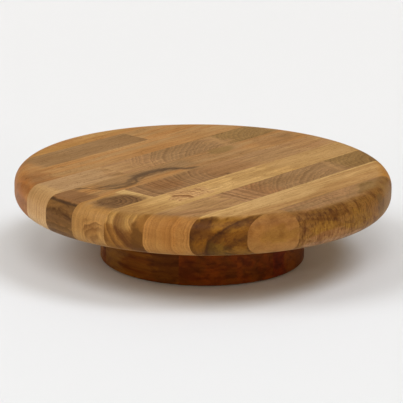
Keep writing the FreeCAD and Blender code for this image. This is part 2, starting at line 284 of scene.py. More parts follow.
class Shader:
    """One material's nodes, built a step at a time. Places and lengths are in millimetres."""

    def __init__(self, name):
        self.material = bpy.data.materials.new(name)
        self.material.use_nodes = True
        self.tree = self.material.node_tree
        self.surface = self.tree.nodes["Principled BSDF"]
        coordinates = self.tree.nodes.new("ShaderNodeTexCoord")
        self.place = self.vector("SCALE", coordinates.outputs["Object"], scale=1 / MM)

    def feed(self, socket, value):
        """Link a socket, or set a plain value on it."""
        if isinstance(value, bpy.types.NodeSocket):
            self.tree.links.new(value, socket)
        elif isinstance(value, (tuple, list)) and socket.type == "RGBA":
            socket.default_value = (*value[:3], 1.0)
        else:
            socket.default_value = value

    def math(self, operation, a, b=0.0):
        node = self.tree.nodes.new("ShaderNodeMath")
        node.operation = operation
        self.feed(node.inputs[0], a)
        self.feed(node.inputs[1], b)
        return node.outputs[0]

    def add(self, a, b):
        return self.math("ADD", a, b)

    def times(self, a, b):
        return self.math("MULTIPLY", a, b)

    def vector(self, operation, a, b=(0.0, 0.0, 0.0), scale=1.0):
        node = self.tree.nodes.new("ShaderNodeVectorMath")
        node.operation = operation
        self.feed(node.inputs[0], a)
        if operation == "SCALE":
            self.feed(node.inputs["Scale"], scale)
        else:
            self.feed(node.inputs[1], b)
        return node.outputs["Value" if operation == "LENGTH" else "Vector"]

    def stretched(self, place, lengths, shift):
        """The place in a unit of its own along each axis, shifted so that no two noises match."""
        scaled = self.vector("MULTIPLY", place, tuple(1 / length for length in lengths))
        return self.vector("ADD", scaled, (shift, shift * 1.7, shift * 2.3))

    def noise(self, place, detail, roughness=0.5, output="Fac", size="3D"):
        """Noise whose features are about one unit wide."""
        node = self.tree.nodes.new("ShaderNodeTexNoise")
        node.noise_dimensions = size
        self.feed(node.inputs["W" if size == "1D" else "Vector"], place)
        node.inputs["Scale"].default_value = 1.0
        node.inputs["Detail"].default_value = detail
        node.inputs["Roughness"].default_value = roughness
        return node.outputs[output]

    def cells(self, place):
        """Cells with a colour of their own each."""
        node = self.tree.nodes.new("ShaderNodeTexVoronoi")
        self.feed(node.inputs["Vector"], place)
        node.inputs["Scale"].default_value = 1.0
        return node.outputs["Color"]

    def step(self, value, low, high, to_low=0.0, to_high=1.0):
        """A smooth rise from one level to another as the value goes from low to high."""
        node = self.tree.nodes.new("ShaderNodeMapRange")
        node.interpolation_type = "SMOOTHSTEP"
        for name, number in (("Value", value), ("From Min", low), ("From Max", high),
                             ("To Min", to_low), ("To Max", to_high)):
            self.feed(node.inputs[name], number)
        return node.outputs["Result"]

    def blend(self, share, a, b, mode="MIX"):
        """Colour b over colour a, by a share."""
        node = self.tree.nodes.new("ShaderNodeMix")
        node.data_type = "RGBA"
        node.blend_type = mode
        node.clamp_factor = True
        self.feed(node.inputs["Factor"], share)
        self.feed(node.inputs[MIX_A], a)
        self.feed(node.inputs[MIX_B], b)
        return node.outputs[MIX_RESULT]

    def curve(self, value, points):
        """A smooth curve through given points of (value, result), each from 0 to 1."""
        node = self.tree.nodes.new("ShaderNodeFloatCurve")
        line = node.mapping.curves[0]
        while len(line.points) < len(points):
            line.points.new(0.5, 0.5)
        for point, (where, result) in zip(line.points, points):
            point.location = (where, result)
        node.mapping.update()
        self.feed(node.inputs["Value"], value)
        return node.outputs[0]

    def bump(self, height):
        """Relief, its height in millimetres."""
        node = self.tree.nodes.new("ShaderNodeBump")
        node.inputs["Distance"].default_value = MM
        self.feed(node.inputs["Height"], height)
        self.feed(self.surface.inputs["Normal"], node.outputs["Normal"])

    def finish(self, colour, roughness, metallic=0.0, specular=0.5):
        """Set the surface's colour and gloss, and hand over the material."""
        self.feed(self.surface.inputs["Base Color"], colour)
        self.feed(self.surface.inputs["Roughness"], roughness)
        self.surface.inputs["Metallic"].default_value = metallic
        self.surface.inputs["Specular IOR Level"].default_value = specular
        return self.material


# Where the top's flat face ends and its turned edge looks like end grain, in mm from the axis
FACE_END = 138.0
RIM_START = 141.0


class Wood(Shader):
    """Oiled hardwood with its fibres along Y, or along X when it is turned.

    Its places are (x, y, z), or (y, x, z) when it is turned. A share is a number from 0 to 1.
    """

    def __init__(self, name, pale, deep, shift, turned=False, streaky=1.0, layers=(1.6, 34)):
        super().__init__(name)
        self.shift = shift
        split = self.tree.nodes.new("ShaderNodeSeparateXYZ")
        self.feed(split.inputs[0], self.place)
        self.x, self.y, self.z = split.outputs
        if turned:
            self.x, self.y = self.y, self.x
            joined = self.tree.nodes.new("ShaderNodeCombineXYZ")
            for socket, value in zip(joined.inputs, (self.x, self.y, self.z)):
                self.feed(socket, value)
            self.place = joined.outputs[0]
        sway = self.noise(self.stretched(self.place, (16, 38, 16), shift), 2.0, output="Color")
        sway = self.vector("SUBTRACT", sway, (0.5, 0.5, 0.5))
        self.bent = self.vector("ADD", self.place, self.vector("SCALE", sway, scale=5.0))
        tone = self.noise(self.stretched(self.bent, (6, 110, 9), shift + 3), 3.0)
        self.colour = self.blend(self.step(tone, 0.36, 0.64), pale, deep)
        wide, tall = layers
        line = self.noise(self.stretched(self.bent, (wide, 150, tall), shift + 8), 2.0)
        self.stain(self.step(line, 0.48, 0.70, 0.0, 0.55 * streaky), (0.66, 0.56, 0.46))
        self.stain(self.step(line, 0.50, 0.32, 0.0, 0.45 * streaky), (1.16, 1.18, 1.16))
        self.ridges = line

    def stain(self, share, tint):
        """Multiply by a tint, by a share: below 1 it darkens and above 1 it brightens."""
        self.colour = self.blend(share, self.colour, tint, "MULTIPLY")

    def wash(self, share, colour):
        """Cover with a colour, by a share."""
        self.colour = self.blend(share, self.colour, colour)

    def both(self, *shares):
        """The product of several shares."""
        product = shares[0]
        for share in shares[1:]:
            product = self.times(product, share)
        return product

    def other(self, share):
        """What a share leaves."""
        return self.math("SUBTRACT", 1.0, share)

    def ragged(self, amount, lengths=(5, 14, 5), shift=21):
        """A noise from minus to plus the amount."""
        spread = self.noise(self.stretched(self.place, lengths, self.shift + shift), 3.0)
        return self.times(self.add(spread, -0.5), 2 * amount)

    def within(self, value, start, end, soft):
        """1 where a value lies between two limits, fading over a distance in millimetres."""
        rise = self.step(value, start - soft, start + soft)
        return self.times(rise, self.step(value, end - soft, end + soft, 1.0, 0.0))

    def rim(self, start=RIM_START, soft=3.0, ragged=3.0):
        """1 on the turned edge, where the cut runs across the fibres."""
        flat = self.vector("MULTIPLY", self.place, (1.0, 1.0, 0.0))
        radius = self.add(self.vector("LENGTH", flat), self.ragged(ragged))
        return self.step(radius, start - soft, start + soft)

    def near_end(self, start=RIM_START, soft=4.5, ragged=3.0):
        """The turned edge at the front end of the stave, from 50 mm in front of the axis on."""
        return self.times(self.rim(start, soft, ragged), self.step(self.y, -40, -50))

    def rings(self, pith, lean, spacing, strength, tint=(0.50, 0.40, 0.31), where=1.0,
              squash=(1.0, 1.0, 1.0), uneven=1.6, early_pale_and_sheen=0.6, wavy=0.0):
        """Growth rings about a pith, given by a point on it and its direction.

        Each year runs from pale early wood, brightened further by a painted sheen of the curl, to
        dark late wood, which ends sharply.
        """
        latest = 0.85
        offset = self.vector("SUBTRACT", self.bent, pith)
        offset = self.vector("MULTIPLY", offset, squash)
        lean = Vector(lean).normalized()
        distance = self.vector("LENGTH", self.vector("CROSS_PRODUCT", offset, tuple(lean)))
        if wavy:
            distance = self.add(distance, self.ragged(wavy, (4, 4, 6), 55))
        growth = self.times(distance, 1 / spacing)
        drift = self.noise(self.add(self.times(growth, 0.31), self.shift), 1.0, size="1D")
        growth = self.add(growth, self.times(drift, uneven))
        phase = self.math("FRACT", growth)
        year = self.math("FLOOR", growth)
        vigour = self.noise(self.add(self.times(year, 0.73), self.shift), 0.0, size="1D")
        late = self.times(self.step(phase, 0.25, latest), self.step(phase, latest, 1.0, 1.0, 0.0))
        late = self.both(late, self.step(vigour, 0.3, 0.65, 0.3, 1.0), where)
        early = self.times(self.step(phase, 0.0, 0.10), self.step(phase, 0.12, 0.42, 1.0, 0.0))
        early = self.both(early, self.step(vigour, 0.65, 0.35, 0.3, 1.0), where)
        self.stain(self.times(late, strength), tint)
        # Pale early wood, pushed brighter as a painted sheen: the shimmer of curly grain.
        self.stain(self.times(early, strength * early_pale_and_sheen), (1.42, 1.40, 1.34))

    def patch(self, centre, size, colour, strength, ragged=0.5, where=1.0):
        """A soft patch of another colour, an ellipsoid with a ragged edge."""
        offset = self.vector("SUBTRACT", self.bent, centre)
        offset = self.vector("DIVIDE", offset, size)
        reach = self.add(self.vector("LENGTH", offset), self.ragged(ragged, (6, 16, 6), 33))
        share = self.times(self.step(reach, 0.65, 1.15, 1.0, 0.0), where)
        self.wash(self.times(share, strength), colour)
        return share

    def streak(self, path, low, width, colour, strength, where, aside=0.0):
        """A wavy streak along the stave: its path is points of (y, x), low the stave's edge."""
        length = 2 * radius_mm
        along = self.times(self.add(self.y, radius_mm), 1 / length)
        points = [((y + radius_mm) / length, (x - low) / stave_mm) for y, x in path]
        middle = self.add(self.times(self.curve(along, points), stave_mm), low + aside)
        away = self.math("ABSOLUTE", self.math("SUBTRACT", self.x, middle))
        away = self.add(away, self.ragged(0.9 * width, (1.8, 8, 2.2), 41 + aside))
        share = self.times(self.step(away, 0.3 * width, width, 1.0, 0.0), where)
        self.wash(self.times(share, strength), colour)

    def knot(self, centre, lean, size, colour=(0.06, 0.028, 0.012), strength=0.9):
        """A small knot: tight rings round a dark heart."""
        offset = self.vector("SUBTRACT", self.bent, centre)
        lean = tuple(Vector(lean).normalized())
        away = self.vector("LENGTH", self.vector("CROSS_PRODUCT", offset, lean))
        away = self.add(away, self.ragged(0.3 * size, (2, 2, 2), 63))
        near = self.step(away, size, 2.6 * size, 1.0, 0.0)
        self.rings(centre, lean, size / 2.4, 0.75, where=near, uneven=0.8)
        self.wash(self.step(away, 0.3 * size, 0.95 * size, strength, 0.0), colour)

    def flecks(self, lengths, low, high, strength, tint, where=1.0, shift=71.0):
        """Short marks of a tint, their size along each axis in millimetres."""
        fleck = self.noise(self.stretched(self.bent, lengths, self.shift + shift), 2.0, 0.6)
        self.stain(self.both(self.step(fleck, low, high), strength, where), tint)

    def close(self, rough=0.50, rim_tint=(0.84, 0.70, 0.48), rim_share=1.0, shine=0.10,
              painted_floor_light=1.0, streaks=1.0):
        """Fibres, streaks on the flat face, pores, the turned edge's tint, gloss and relief.

        The turned edge is darker than the face; low down it carries painted light from the pale
        floor, paler and bluer.
        """
        fibre = self.noise(self.stretched(self.bent, (0.7, 22, 0.7), self.shift + 5), 3.0, 0.6)
        self.stain(self.step(fibre, 0.34, 0.62, 0.55, 0.0), (0.74, 0.68, 0.62))
        grain = self.noise(self.stretched(self.bent, (1.7, 70, 1.7), self.shift + 12), 2.0, 0.6)
        flat = self.times(self.other(self.rim(FACE_END, 5.0)), streaks)
        self.stain(self.times(self.step(grain, 0.50, 0.64, 0.0, 0.5), flat), (0.72, 0.66, 0.58))
        self.stain(self.times(self.step(grain, 0.36, 0.50, 0.7, 0.0), flat), (1.14, 1.17, 1.22))
        pore = self.noise(self.stretched(self.bent, (0.30, 4.2, 0.30), self.shift + 6), 1.0)
        cluster = self.noise(self.stretched(self.place, (6, 40, 6), self.shift + 7), 1.0)
        pores = self.times(self.step(pore, 0.60, 0.70), self.step(cluster, 0.35, 0.6, 0.35, 1.0))
        self.stain(self.times(pores, 0.8), (0.42, 0.33, 0.26))
        cloud = self.noise(self.stretched(self.place, (26, 60, 26), self.shift + 9), 2.0)
        self.stain(self.step(cloud, 0.35, 0.68, 0.0, 0.4), (0.82, 0.78, 0.70))
        edge = self.rim(soft=5.0)
        self.stain(self.times(edge, rim_share), rim_tint)
        # Painted light from the floor: the edge below 50 mm, fading out by 61 mm, made paler and
        # bluer.
        below = self.times(edge, self.step(self.z, 50, 61, 1.0, 0.0))
        self.stain(self.times(below, painted_floor_light), (1.22, 1.34, 1.50))
        relief = self.add(self.times(fibre, 0.035), self.times(pores, -0.07))
        self.bump(self.add(relief, self.times(self.ridges, 0.03)))
        gloss = self.add(self.times(fibre, 0.10), self.times(pores, 0.22))
        gloss = self.add(gloss, self.step(cloud, 0.3, 0.7, rough - 0.10, rough))
        return self.finish(self.colour, gloss, specular=shine)


# ---------------------------------------------------------------- wood colours

# As linear red, green and blue
GOLDEN = (0.50, 0.290, 0.098)
YELLOW = (0.455, 0.262, 0.088)
HONEY = (0.40, 0.205, 0.058)
ORANGE = (0.375, 0.178, 0.055)
TAN = (0.365, 0.207, 0.081)
PINK_TAN = (0.335, 0.180, 0.078)
CREAM = (0.54, 0.345, 0.135)
GREY_BROWN = (0.262, 0.146, 0.060)
OLIVE = (0.225, 0.128, 0.040)
BROWN = (0.20, 0.088, 0.022)
UMBER = (0.125, 0.052, 0.014)
BLACK_BROWN = (0.050, 0.024, 0.010)
RED_BROWN = (0.24, 0.095, 0.028)

UPRIGHT = (0.0, 0.0, 1.0)
ALONG = (0.0, 1.0, 0.0)


# ---------------------------------------------------------------- the top's woods

def wood_stave_01_front(name):
    """Plain orange brown, with a smooth rounded end."""
    plain = (0.315, 0.165, 0.056)
    wood = Wood(name, plain, HONEY, 1.3, streaky=0.4)
    wood.wash(0.55, plain)
    wood.rings((170, 0, 10), (0.02, 1, 0.03), 7.0, 0.15)
    wood.patch((133, -66, 61), (10, 20, 7), (0.31, 0.170, 0.040), 0.75, ragged=1.0)
    wood.patch((136, -66, 49), (20, 40, 6), (0.36, 0.190, 0.072), 0.7, ragged=0.7)
    wood.flecks((9, 9, 9), 0.46, 0.66, 0.6, (0.70, 0.60, 0.46), shift=77.0)
    return wood.close(rim_tint=(0.78, 0.66, 0.44))


def wood_stave_01_rear(name):
    """Grey brown, with ripples on the face and cross-grained flecks down the edge."""
    wood = Wood(name, PINK_TAN, GREY_BROWN, 2.1)
    edge = wood.rim(142.0, 4.5, ragged=4.0)
    flat = wood.other(edge)
    wood.patch((136, 62, 74), (16, 42, 30), OLIVE, 0.8, where=flat)
    wood.rings((190, 66, 74), (0.05, 0.05, 1.0), 4.4, 0.35, where=flat, wavy=4.5, uneven=2.6)
    wood.wash(wood.times(edge, 0.92), (0.210, 0.098, 0.016))
    wood.patch((146, -30, 68), (20, 24, 6), (0.140, 0.060, 0.008), 0.75, ragged=0.9, where=edge)
    wood.patch((149, -30, 60), (20, 16, 5), (0.29, 0.148, 0.016), 0.7, ragged=0.8, where=edge)
    wood.patch((149, -24, 52), (24, 28, 6), (0.27, 0.130, 0.045), 0.8, ragged=0.8, where=edge)
    wood.patch((149, -10, 47), (24, 40, 4), (0.33, 0.190, 0.090), 0.7, ragged=0.7, where=edge)
    wood.patch((149, 6, 60), (20, 20, 7), (0.25, 0.128, 0.014), 0.7, ragged=0.9, where=edge)
    upper = wood.both(edge, wood.step(wood.z, 62, 67), wood.step(wood.y, -2, -20))
    wood.rings((146, -30, 96), (0.04, 1.0, -0.12), 3.4, 0.40, (0.40, 0.27, 0.15), where=upper,
               wavy=4.0)
    wood.rings((150, -160, 40), (1.0, 0.0, 0.25), 3.6, 0.35, where=edge, wavy=5.0, early_pale_and_sheen=0.5)
    wood.flecks((5, 1.3, 5), 0.48, 0.64, 0.65, (0.46, 0.34, 0.22), edge)
    wood.flecks((9, 7, 7), 0.48, 0.64, 0.7, (0.60, 0.48, 0.34), edge, shift=77.0)
    wood.patch((136, 64, 58), (16, 18, 20), OLIVE, 0.6, where=edge)
    wood.patch((144, 44, 62), (8, 9, 13), (0.13, 0.072, 0.018), 0.6, ragged=1.2, where=edge)
    return wood.close(rim_share=0.3)


def wood_stave_02(name):
    """Pale gold with a cream border, and a dark end with wide curved bands."""
    wood = Wood(name, (0.475, 0.288, 0.112), (0.41, 0.232, 0.080), 3.7, streaky=1.4)
    wood.wash(wood.times(wood.within(wood.x, 86, 92.5, 1.2), 0.9), CREAM)
    wood.wash(wood.times(wood.within(wood.x, 106, 124, 5.0), 0.5), (0.39, 0.205, 0.072))
    wood.rings((104, 0, -60), (0.01, 1, 0.02), 5.0, 0.4, where=wood.other(wood.rim()))
    wood.patch((100, -22, 74), (14, 44, 20), (0.50, 0.312, 0.124), 0.6)
    end = wood.near_end(141.5, 4.0, 6.0)
    wood.wash(wood.times(end, 0.95), (0.168, 0.078, 0.010))
    wood.patch((100, -108, 60), (8, 30, 7), (0.20, 0.095, 0.012), 0.75, ragged=1.0, where=end)
    wood.patch((110, -102, 70), (12, 30, 5), (0.27, 0.150, 0.040), 0.8, ragged=0.9, where=end)
    wood.patch((106, -104, 51), (9, 30, 7), (0.17, 0.108, 0.026), 0.8, ragged=0.8, where=end)
    wood.rings((131, -100, 40), (-0.05, 1.0, 0.1), 10.5, 0.95, (0.24, 0.16, 0.09), where=end,
               uneven=2.6, early_pale_and_sheen=0.15, wavy=2.0)
    wood.rings((131, -100, 40), (-0.05, 1.0, 0.1), 2.3, 0.25, where=end, wavy=2.0)
    wood.patch((116, -98, 49), (7, 30, 5), (0.27, 0.155, 0.048), 0.7, ragged=1.0, where=end)
    wood.patch((94, -112, 66), (7, 20, 8), (0.115, 0.050, 0.012), 0.75, ragged=1.2, where=end)
    wood.flecks((4, 12, 4), 0.46, 0.64, 0.6, (0.52, 0.40, 0.26), end)
    return wood.close(rim_tint=(0.80, 0.62, 0.22), painted_floor_light=0.4)


def wood_stave_03_front(name):
    """Pinkish tan, with fine upright lines down the end."""
    wood = Wood(name, PINK_TAN, TAN, 4.4)
    wood.patch((72, -84, 74), (12, 20, 12), TAN, 0.6, ragged=1.0)
    wood.rings((66, -40, 20), (0.1, 1.0, 0.10), 4.2, 0.5)
    end = wood.near_end()
    wood.wash(wood.times(end, 0.75), (0.400, 0.205, 0.066))
    wood.patch((78, -130, 58), (6, 40, 30), (0.35, 0.165, 0.048), 0.6, ragged=0.8, where=end)
    wood.rings((-120, -120, 60), ALONG, 5.2, 0.4, where=end, uneven=4.0, wavy=0.8, early_pale_and_sheen=0.7)
    wood.rings((-120, -120, 60), ALONG, 1.9, 0.25, where=end, uneven=3.0, wavy=0.6)
    return wood.close(rim_tint=(0.82, 0.72, 0.50))


def ripples(wood, across, far):
    """The slanting ripples of a stave's rear length, and what goes with them."""
    wood.patch((across, 26, 70), (40, 40, 60), GREY_BROWN, 0.9)
    wood.patch((across, 104, 70), (40, 30, 60), OLIVE, 0.85)
    slant = wood.add(wood.y, wood.times(wood.x, 0.35))
    middle = 72 + 0.35 * across
    first = wood.within(wood.y, -30, 66, 10)
    wood.rings((across + 112, far, 60), UPRIGHT, 3.6, 0.55, where=first, wavy=2.2, early_pale_and_sheen=0.8)
    second = wood.within(wood.y, 75, 135, 3)
    wood.rings((across + 34, 128, 60), (0.1, 0.0, 1.0), 3.6, 0.5, where=second, wavy=2.5)
    wood.wash(wood.times(wood.within(slant, middle - 3, middle + 2, 2.5), 0.7), TAN)


def wood_stave_03_rear(name):
    """Reddish in front, then two lengths of grey brown ripples."""
    wood = Wood(name, PINK_TAN, GREY_BROWN, 5.2, streaky=0.6)
    wood.patch((75, -4, 70), (40, 46, 40), RED_BROWN, 0.5)
    ripples(wood, 75, 92)
    lines = wood.within(wood.y, -56, -26, 2.0)
    wood.wash(wood.times(lines, 0.5), PINK_TAN)
    wood.rings((70, -430, 60), UPRIGHT, 7.5, 0.9, where=lines, squash=(0.4, 1.0, 1.0), wavy=1.5)
    return wood.close()


def wood_stave_04(name):
    """The palest stave, with a knotty spot near the front and a swirl down the end."""
    wood = Wood(name, GOLDEN, YELLOW, 6.9, streaky=1.2)
    wood.wash(wood.times(wood.within(wood.y, -104, 30, 16.0), 0.5), CREAM)
    wood.rings((45, 0, -10), (0.02, 1.0, 0.02), 4.4, 0.42)
    wood.patch((45, 96, 74), (24, 66, 30), (0.385, 0.226, 0.086), 0.75)
    knotty = wood.patch((43, -66, 74), (13, 20, 16), (0.47, 0.272, 0.120), 0.8, ragged=1.3)
    wood.rings((52, -84, 74), (0.2, 0.1, 1.0), 3.8, 1.0, (0.42, 0.26, 0.15), where=knotty,
               uneven=2.5, wavy=3.0, early_pale_and_sheen=0.6)
    end = wood.near_end(soft=6.0)
    wood.wash(wood.times(end, 0.85), (0.235, 0.112, 0.032))
    wood.patch((42, -140, 71), (16, 40, 9), (0.42, 0.265, 0.120), 0.8, ragged=0.6, where=end)
    wood.rings((62, -140, 78), (0.04, 1.0, 0.0), 6.4, 0.85, (0.36, 0.24, 0.13), where=end,
               squash=(1.0, 1.0, 0.72), uneven=2.4, early_pale_and_sheen=0.5, wavy=1.2)
    wood.rings((62, -140, 78), (0.04, 1.0, 0.0), 1.9, 0.35, where=end,
               squash=(1.0, 1.0, 0.72), uneven=2.4, early_pale_and_sheen=0.8, wavy=1.0)
    wood.patch((59, -140, 66), (8, 40, 11), (0.25, 0.120, 0.032), 0.85, ragged=0.5, where=end)
    wood.patch((55, -140, 58), (5, 40, 13), (0.115, 0.050, 0.008), 0.8, ragged=0.7, where=end)
    wood.patch((34, -144, 47), (6, 30, 5), (0.31, 0.165, 0.050), 0.7, ragged=0.7, where=end)
    return wood.close(rim_tint=(0.86, 0.76, 0.46), painted_floor_light=0.0)


def wood_stave_05_front(name):
    """A dark oval between cream bands, and a small swirl down the end."""
    wood = Wood(name, TAN, HONEY, 7.6)
    flat = wood.other(wood.rim(145.0))
    oval = wood.patch((20, -118, 74), (17, 25, 40), (0.150, 0.074, 0.028), 0.95, ragged=0.25,
                      where=flat)
    wood.rings((12, -124, 74), (0.05, 0.05, 1.0), 4.0, 0.85, (0.36, 0.25, 0.19), where=oval,
               early_pale_and_sheen=0.8, wavy=2.0, uneven=2.4)
    wood.wash(wood.times(wood.within(wood.y, -103, -88, 3.0), wood.other(oval)), CREAM)
    end = wood.near_end(143.0)
    wood.wash(wood.times(end, 0.85), (0.405, 0.238, 0.090))
    wood.rings((-90, -120, 60), ALONG, 3.4, 0.35, where=end, uneven=3.5, wavy=0.8)
    wood.patch((19, -147, 56), (7, 30, 8), (0.27, 0.135, 0.042), 0.8, ragged=0.4, where=end)
    swirl = wood.both(end, wood.within(wood.x, 11, 28, 2), wood.within(wood.z, 46, 67, 2))
    wood.rings((23, -147, 50), (0.1, 1.0, 0.05), 4.6, 0.75, where=swirl, wavy=2.8)
    wood.patch((26, -147, 46), (6, 30, 3), (0.24, 0.12, 0.036), 0.6, ragged=0.6, where=end)
    return wood.close(rim_tint=(0.80, 0.71, 0.54))


def wood_stave_05_rear(name):
    """Brown with curved rings round a small knot, then tan."""
    wood = Wood(name, TAN, PINK_TAN, 8.5, streaky=0.8)
    face = wood.within(wood.y, -100, -4, 6.0)
    wood.wash(wood.times(face, 0.85), (0.235, 0.122, 0.050))
    wood.patch((12, -60, 74), (14, 18, 20), RED_BROWN, 0.4)
    wood.rings((29, -2, 60), (0.03, 0.08, 1.0), 4.4, 0.62, (0.46, 0.35, 0.26), where=face,
               squash=(0.85, 1.0, 1.0), wavy=0.8, early_pale_and_sheen=0.9)
    wood.patch((14, 12, 74), (24, 30, 20), (0.285, 0.142, 0.055), 0.8)
    wood.knot((28, -3, 74), (0.2, 0.3, 1.0), 1.9)
    wood.patch((14, 70, 74), (18, 34, 30), (0.31, 0.172, 0.074), 0.6, ragged=1.0)
    wood.patch((14, 112, 74), (18, 24, 30), RED_BROWN, 0.35, ragged=1.0)
    return wood.close()


def wood_stave_06(name):
    """Tan, with the long dark vein and a dark brown end."""
    wood = Wood(name, TAN, ORANGE, 9.1, streaky=1.3)
    wood.patch((-10, -132, 74), (40, 16, 40), (0.205, 0.095, 0.035), 0.9)
    band = wood.both(wood.within(wood.y, -98, 4, 6.0), wood.within(wood.x, -28, -11, 4.0))
    wood.wash(wood.times(band, 0.85), GREY_BROWN)
    wood.wash(wood.times(wood.within(wood.y, -18, 70, 12.0), 0.45), (0.270, 0.160, 0.074))
    path = [(-150, -24), (-120, -29), (-106, -17), (-96, -9), (-84, -6), (-72, -7), (-62, -17),
            (-48, -19.5), (-32, -18), (-18, -12), (-4, -3), (150, -3)]
    dark = wood.within(wood.y, -117, -2, 3.0)
    thick = wood.within(wood.y, -66, -12, 8.0)
    wood.streak(path, -30, 8.5, (0.175, 0.098, 0.048), 0.75, thick)
    wood.streak(path, -30, 5.5, (0.100, 0.054, 0.026), 0.75, thick)
    wood.streak(path, -30, 3.0, (0.085, 0.044, 0.020), 0.75, dark)
    blade = [(-150, -20), (-106, -19), (-92, -14), (-78, -11.5), (-64, -16), (150, -16)]
    wood.streak(blade, -30, 4.6, (0.115, 0.062, 0.030), 0.75, wood.within(wood.y, -104, -62, 6.0))
    wood.streak(path, -30, 1.6, UMBER, 0.8, wood.within(wood.y, -62, -40, 4.0), aside=5.5)
    wood.patch((-24, 50, 74), (9, 16, 20), OLIVE, 0.85)
    wood.patch((-12, 104, 74), (15, 26, 20), (0.285, 0.142, 0.050), 0.8)
    wood.patch((-20, 124, 74), (10, 12, 20), GREY_BROWN, 0.5)
    end = wood.near_end(143.0, 1.2, 1.0)
    wood.wash(wood.times(end, 0.95), (0.138, 0.066, 0.017))
    wood.rings((-17, -140, 34), ALONG, 5.4, 0.55, (0.34, 0.26, 0.18), where=end,
               squash=(0.6, 1.0, 1.0), wavy=2.5, early_pale_and_sheen=0.9)
    wood.flecks((8, 20, 2.6), 0.50, 0.68, 0.6, (0.46, 0.38, 0.30), end)
    line = wood.within(wood.z, 71.6, 73.3, 0.5)
    wood.wash(wood.both(line, end, 0.85), BLACK_BROWN)
    return wood.close(rim_share=0.3)


def wood_stave_07_front(name):
    """Pale tan, and paler still down the end, with painted shade on the end's upper rounding."""
    wood = Wood(name, TAN, PINK_TAN, 10.4)
    wood.rings((-70, -80, 30), (0.15, 1.0, 0.06), 4.4, 0.5)
    wood.patch((-45, -104, 74), (40, 44, 30), (0.40, 0.245, 0.116), 0.7)
    wood.patch((-45, -141, 60), (40, 17, 60), (0.46, 0.270, 0.105), 0.9)
    end = wood.near_end()
    wood.wash(wood.times(end, 0.6), (0.54, 0.345, 0.165))
    # Painted shade: the end darkened from 62 mm up, on its upper rounding.
    wood.stain(wood.times(end, wood.step(wood.z, 62, 70)), (0.78, 0.74, 0.67))
    wood.rings((-160, -130, 60), ALONG, 3.6, 0.4, where=end, uneven=2.5)
    return wood.close(rim_tint=(0.86, 0.83, 0.78))


def wood_stave_07_rear(name):
    """Two lengths of grey brown ripples."""
    wood = Wood(name, PINK_TAN, TAN, 11.8, streaky=0.7)
    ripples(wood, -45, 104)
    wood.patch((-20, 120, 74), (10, 12, 20), ORANGE, 0.6)
    return wood.close()


def wood_stave_08(name):
    """Orange tan, with a reddish front and two small knots."""
    wood = Wood(name, ORANGE, TAN, 12.5, streaky=0.6)
    wood.patch((-75, -122, 66), (26, 26, 60), RED_BROWN, 0.6, ragged=0.8)
    wood.rings((-75, -128, 10), (0.2, 1.0, -0.3), 9.0, 0.5, where=wood.step(wood.y, -96, -116))
    wood.knot((-80, -117, 74), (0.1, 0.4, 1.0), 1.6, colour=UMBER, strength=0.7)
    wood.knot((-80, -78, 74), (0.1, 0.3, 1.0), 2.0, colour=BROWN, strength=0.6)
    return wood.close(rim_tint=(0.92, 0.78, 0.60))


def wood_stave_09_front(name):
    """Orange tan in front, then plain grey brown."""
    wood = Wood(name, ORANGE, TAN, 13.3)
    wood.wash(wood.times(wood.within(wood.y, -88, 60, 7.0), 0.93), GREY_BROWN)
    wood.flecks((1.4, 60, 30), 0.48, 0.66, 0.6, (0.62, 0.55, 0.48))
    return wood.close()


def wood_stave_09_rear(name):
    """Plain tan."""
    wood = Wood(name, TAN, ORANGE, 14.9, streaky=0.6)
    return wood.close()


def wood_stave_10(name):
    """Honey, with a yellow patch."""
    wood = Wood(name, HONEY, ORANGE, 15.2, streaky=0.7)
    wood.patch((-136, 30, 74), (9, 40, 20), YELLOW, 0.6, ragged=0.9)
    return wood.close()


# ---------------------------------------------------------------- the base's woods, painted dark as shade

# Painted shade: the base's tones are far darker and redder than the top's wood, for the shade
# under the overhanging top.
SHADED_RED = (0.132, 0.027, 0.001)
SHADED_BROWN = (0.098, 0.024, 0.001)
SHADED_OLIVE = (0.160, 0.055, 0.003)
SHADED_ORANGE = (0.112, 0.029, 0.001)
SHADED_PURPLE = (0.110, 0.015, 0.001)
SHADED_PLUM = (0.070, 0.010, 0.002)

# The pale and the deep tone of each base stave, both painted dark as shade
BASE_SHADED_TONES = (
    (SHADED_OLIVE, SHADED_BROWN), (SHADED_RED, SHADED_BROWN), (SHADED_RED, SHADED_BROWN),
    (SHADED_PURPLE, SHADED_PLUM), (SHADED_ORANGE, SHADED_BROWN), (SHADED_RED, SHADED_PURPLE),
)

# Patches of another tone, painted as dark as the rest, by the base stave's number: place, size,
# colour, strength, raggedness
BASE_PATCHES = {
    1: (((-76, 30, 22), (16, 14, 30), (0.078, 0.022, 0.001), 0.75, 1.0),
        ((-70, -30, 14), (30, 22, 30), (0.190, 0.088, 0.016), 0.6, 0.8)),
    2: (((-62, -56, 20), (16, 18, 34), (0.250, 0.105, 0.014), 0.85, 0.6),),
    4: (((14, 80, 20), (12, 12, 34), (0.150, 0.045, 0.002), 0.6, 0.8),),
}


def wood_base(name, number):
    """One of the base's woods, painted dark and red as the shade under the top, with its fibres
    along X.
    """
    pale, deep = BASE_SHADED_TONES[number - 1]
    wood = Wood(name, pale, deep, 20.0 + 1.7 * number, turned=True, layers=(20, 1.8))
    for place, size, colour, strength, ragged in BASE_PATCHES.get(number, ()):
        wood.patch(place, size, colour, strength, ragged)
    pith = (-110 + 37 * number, 0, 60 - 14 * (number % 3))
    wood.rings(pith, (0.03, 1.0, 0.05), 6.0, 0.4, early_pale_and_sheen=0.3)
    wood.flecks((8, 40, 5), 0.46, 0.64, 0.7, (0.50, 0.36, 0.30))
    return wood.close(rough=0.46, rim_share=0.0, shine=0.05, painted_floor_light=0.0, streaks=0.0)


# ---------------------------------------------------------------- metal, nylon and rubber

